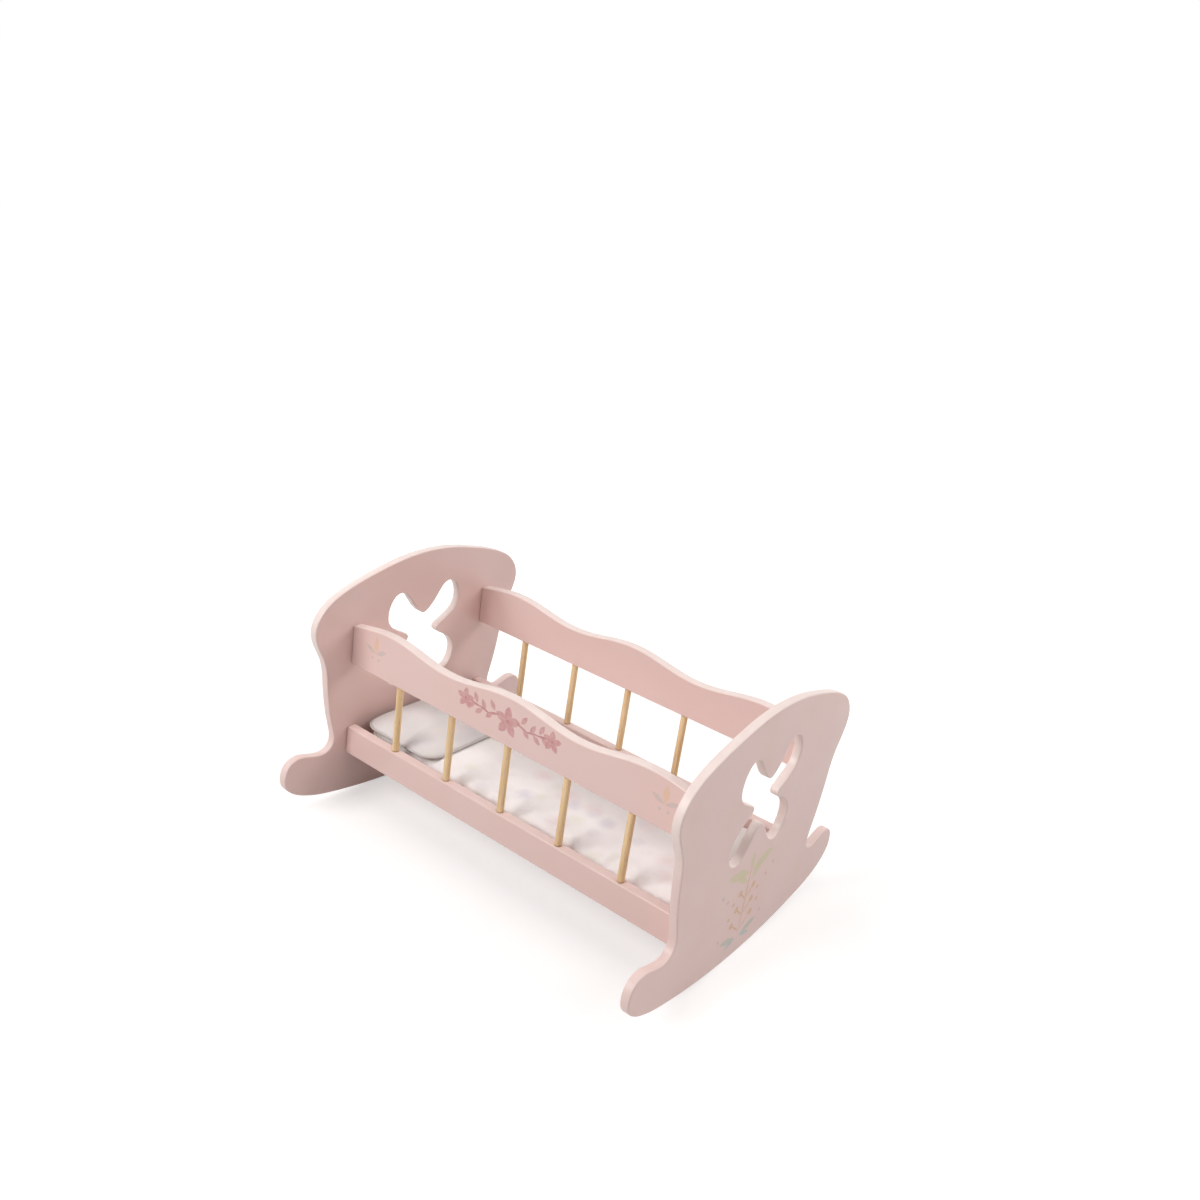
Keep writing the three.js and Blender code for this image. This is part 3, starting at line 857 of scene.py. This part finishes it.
def paint(name, strokes=(), across_axis="Y", depth_axis="X", outer=1.0):
    """Satin paint on wood: slow drift of the pink, fine spray texture, and painted highlights.

    The highlight is painted on edges and walls, palest along the tops and round the cut-out, for
    light from above.
    """
    shader = Shader(name)
    drift = shader.spread(shader.noise(9, 3), 0.3, 0.7)
    colour = shader.mix(drift, PINK, PINK_WARM)
    if strokes:
        colour = printed(shader, colour, strokes, across_axis, depth_axis, outer)
    # Painted highlight: paler pink on the rounded edges and walls, strongest high up and round the
    # cut-out, for light from above
    rim = shader.node("Attribute", attribute_name="rim").outputs["Fac"]
    painted_highlight = shader.math("MULTIPLY", rim, shader.spread(shader.noise(60, 4), 0.35, 0.75, 0.7, 1.0))
    axes = shader.node("SeparateXYZ", {0: shader.place}).outputs
    highlight_by_height = shader.spread(axes["Z"], HIGHLIGHT_FROM, HIGHLIGHT_FULLY, 0.35, 1.0)
    aside = shader.math("ABSOLUTE", axes["Y"])
    cut_out = shader.spread(aside, CUT_OUT_REACH, CUT_OUT_END, 1.0, 0.0)
    painted_highlight = shader.math("MULTIPLY", painted_highlight, shader.math("MAXIMUM", highlight_by_height, cut_out))
    colour = shader.mix(painted_highlight, colour, PINK_HIGHLIGHT)
    spray = shader.noise(1500, 2)
    grain = shader.noise(55, 4, stretch=(1, 9, 9) if depth_axis == "Y" else (9, 9, 1))
    normal = shader.bump(grain, 0.08, 0.4 * MM)
    normal = shader.bump(spray, 0.1, 0.05 * MM, normal)
    gloss = shader.spread(shader.noise(30, 4), 0.3, 0.7, 0.36, 0.5)
    return shader.finish(Base_Color=colour, Roughness=gloss, Normal=normal,
                         Coat_Weight=0.12, Coat_Roughness=0.25)


def bare_wood(foot, head):
    """Turned beech: fine fibres and short dark flecks along the rod, slow bands between two browns.

    The rods are darkened with painted contact shade where they enter the rails, whose facing
    edges stand at the heights foot and head.
    """
    shader = Shader("bare_wood")
    bands = shader.spread(shader.noise(260, 3, stretch=(1, 1, 0.04)), 0.35, 0.65)
    colour = shader.mix(bands, BEECH, BEECH_DARK)
    flecks = shader.spread(shader.noise(1400, 2, stretch=(1, 1, 0.09)), 0.62, 0.72)
    colour = shader.mix(shader.math("MULTIPLY", flecks, 0.45), colour, BEECH_FLECK)
    # Painted contact shade: the rod darkens within a little of where it enters a rail
    height = shader.node("SeparateXYZ", {0: shader.place}).outputs["Z"]
    from_foot = shader.math("SUBTRACT", height, foot)
    from_head = shader.math("SUBTRACT", head, height)
    from_rail = shader.math("MINIMUM", from_foot, from_head)
    painted_contact_shade = shader.spread(from_rail, 0.2 * MM, 1.8 * MM, 0.85, 0.0)
    colour = shader.mix(painted_contact_shade, colour, BEECH_CONTACT_SHADE)
    fibres = shader.noise(1800, 3, stretch=(1, 1, 0.03))
    normal = shader.bump(fibres, 0.25, 0.12 * MM)
    gloss = shader.spread(bands, 0, 1, 0.5, 0.62)
    return shader.finish(Base_Color=colour, Roughness=gloss, Normal=normal)


def weave(shader, thread):
    """Height of a plain weave: the sum of one sine along each axis, so that any face shows two
    crossing ones.
    """
    parts = shader.node("SeparateXYZ", {0: shader.place})
    wobble = shader.math("MULTIPLY", shader.noise(140, 2), 2.5)
    total = 0.0
    for axis in "XYZ":
        turn = shader.math("MULTIPLY", parts.outputs[axis], math.pi / thread)
        total = shader.math("ADD", shader.math("SINE", shader.math("ADD", turn, wobble)), total)
    return total


def cotton(name, light, shade, print_share):
    """Woven cotton: threads and crumples in bump, slow shading, and a sparse print of blurred
    pale patches.
    """
    shader = Shader(name)
    threads = weave(shader, 0.55 * MM)
    colour = shader.mix(shader.spread(shader.noise(26, 4), 0.35, 0.7, 0.0, 0.7), light, shade)
    if print_share:
        patches = ((LILAC_PALE, 0.6, 24.0), (BLOSSOM_PALE, 1.9, 20.0), (LEAF_PALE, 2.7, 27.0))
        for tint, turn, scale in patches:
            inputs = {"Vector": shader.place, "Rotation": (0, 0, turn), "Location": (turn, turn, 0)}
            place = shader.node("Mapping", inputs).outputs[0]
            inputs = {"Vector": place, "Scale": 90.0, "Detail": 3.0}
            ragged = shader.node("TexNoise", inputs).outputs["Color"]
            moved = shader.mix(0.012, place, ragged, "ADD")
            cells = shader.node("TexVoronoi", {"Vector": moved, "Scale": scale, "Randomness": 0.9})
            fleck = shader.spread(cells.outputs["Distance"], 0.06, 0.34, print_share, 0.0)
            colour = shader.mix(fleck, colour, tint)
    crumple = shader.noise(30, 4)
    normal = shader.bump(crumple, 0.3, 2.0 * MM)
    normal = shader.bump(threads, 0.25, 0.06 * MM, normal)
    return shader.finish(Base_Color=colour, Roughness=0.92, Normal=normal,
                         Sheen_Weight=0.2, Sheen_Roughness=0.5)


# Stage, light and camera

def camera_only_white(tree, other):
    """Shows white to the camera and in gloss, and the other shader's light to everything else."""
    nodes, links = tree.nodes, tree.links
    path = nodes.new("ShaderNodeLightPath")
    seen = nodes.new("ShaderNodeMath")
    seen.operation = "MAXIMUM"
    gloss = nodes.new("ShaderNodeMath")
    gloss.operation = "MAXIMUM"
    links.new(path.outputs["Is Glossy Ray"], gloss.inputs[0])
    links.new(path.outputs["Is Transmission Ray"], gloss.inputs[1])
    links.new(path.outputs["Is Camera Ray"], seen.inputs[0])
    links.new(gloss.outputs[0], seen.inputs[1])
    white = nodes.new("ShaderNodeBackground")
    white.inputs["Color"].default_value = WHITE
    white.inputs["Strength"].default_value = 1.0
    mixed = nodes.new("ShaderNodeMixShader")
    links.new(seen.outputs[0], mixed.inputs[0])
    links.new(other.outputs[0], mixed.inputs[1])
    links.new(white.outputs[0], mixed.inputs[2])
    return mixed


def world():
    """Faint warm light from all round, which the camera sees as white."""
    made = bpy.data.worlds.new("studio")
    made.use_nodes = True
    tree = made.node_tree
    tree.nodes.clear()
    soft = tree.nodes.new("ShaderNodeBackground")
    soft.inputs["Color"].default_value = WORLD_WARM
    soft.inputs["Strength"].default_value = WORLD_STRENGTH
    out = tree.nodes.new("ShaderNodeOutputWorld")
    tree.links.new(camera_only_white(tree, soft).outputs[0], out.inputs[0])
    bpy.context.scene.world = made


def floor():
    """A wide plain floor. Its own glow, stronger far away, carries it to white and leaves the
    object's shadow.
    """
    corners = [(x * FLOOR_HALF, y * FLOOR_HALF, 0) for x, y in ((-1, -1), (1, -1), (1, 1), (-1, 1))]
    mesh = bpy.data.meshes.new("floor")
    mesh.from_pydata(corners, [], [(0, 1, 2, 3)])
    shader = Shader("floor")
    path = shader.node("LightPath")
    seen = shader.math("MAXIMUM", path.outputs["Is Camera Ray"], path.outputs["Is Glossy Ray"])
    distance = shader.node("VectorMath", {0: shader.place}, operation="LENGTH").outputs["Value"]
    strength = shader.spread(distance, GLOW_START, GLOW_END, FLOOR_GLOW, 1.0)
    glow = shader.math("MULTIPLY", seen, strength)
    mottle = shader.mix(shader.spread(shader.noise(3, 2), 0.3, 0.7), FLOOR_PALE, FLOOR_GREY)
    shader.finish(Base_Color=mottle, Roughness=0.9, Specular_IOR_Level=0.1, Emission_Color=WHITE)
    shader.set(shader.surface.inputs["Emission Strength"], glow)
    mesh.materials.append(shader.material)
    piece = bpy.data.objects.new("floor", mesh)
    bpy.context.scene.collection.objects.link(piece)


def lamp(name, place, target, size, power, colour):
    """A square soft light at a place, facing a target."""
    data = bpy.data.lights.new(name, "AREA")
    data.shape = "SQUARE"
    data.size = size
    data.energy = power
    data.color = colour
    made = bpy.data.objects.new(name, data)
    turn = (Vector(target) - Vector(place)).to_track_quat("-Z", "Y").to_matrix().to_4x4()
    made.matrix_world = Matrix.Translation(place) @ turn
    bpy.context.scene.collection.objects.link(made)


def camera():
    """The photograph's camera: turned round its target by azimuth and elevation, then rolled in
    its own plane.
    """
    azimuth, elevation, roll = (math.radians(a) for a in (VIEW_AZIMUTH, VIEW_ELEVATION, VIEW_ROLL))
    level = math.cos(elevation)
    back = Vector((level * math.sin(azimuth), -level * math.cos(azimuth), math.sin(elevation)))
    right = Vector((0, 0, 1)).cross(back).normalized()
    down = right.cross(back)
    across = math.cos(roll) * right + math.sin(roll) * down
    below = -math.sin(roll) * right + math.cos(roll) * down
    data = bpy.data.cameras.new("photo_camera")
    data.sensor_width = SENSOR_WIDTH
    data.lens = FOCAL_PIXELS / IMAGE_SIDE * SENSOR_WIDTH
    made = bpy.data.objects.new("photo_camera", data)
    turn = Matrix((across, -below, back)).transposed().to_4x4()
    made.matrix_world = Matrix.Translation(Vector(VIEW_TARGET) + VIEW_DISTANCE * back) @ turn
    bpy.context.scene.collection.objects.link(made)
    bpy.context.scene.camera = made


camera()
world()
floor()
for name, settings in LAMPS.items():
    lamp(name, *settings)

plain_paint = paint("pink_paint")
panel_face = node_span("foot_panel")[1][0]
panel_paint = paint("pink_paint_panels", twig(), "Y", "X", panel_face - INK_DEPTH)
rail_low, rail_high, _ = node_span("back_top_rail")
rail_foot = rail_low[2] / MM
rail_print = garland(rail_foot + GARLAND_RISE) + sprig(SPRIG_ACROSS, rail_foot + SPRIG_RISE)
rail_paint = paint("pink_paint_rails", rail_print, "X", "Y", rail_high[1] - INK_DEPTH)
wood = bare_wood(node_span("front_bottom_rail")[1][2], rail_low[2])
mattress_cloth = cotton("white_cloth", COTTON, COTTON_SHADE, 0.5)
mattress_piping = cotton("white_piping", COTTON, COTTON_SHADE, 0.0)
pillow_cloth = cotton("grey_cloth", LINEN, LINEN_SHADE, 0.3)
# The pillow's piping: grey piping, darkened partly as painted shade for the shadow line under its
# edge
pillow_piping = cotton("grey_piping", PIPING, PIPING, 0.0)

for end in ("head", "foot"):
    end_panel(f"{end}_panel", panel_paint)
for side in ("front", "back"):
    top_rail(f"{side}_top_rail", rail_paint)
    bottom_rail(f"{side}_bottom_rail", plain_paint)
base_board("base_board", plain_paint)
for name, node in frame["nodes"].items():
    if "spindle" in name:
        spindle(name, wood)
    elif name.endswith("_pin"):
        node.data.materials.clear()
        node.data.materials.append(wood)
mattress(mattress_cloth, mattress_piping)
pillow(pillow_cloth, pillow_piping)

bpy.context.scene.view_settings.view_transform = "Standard"
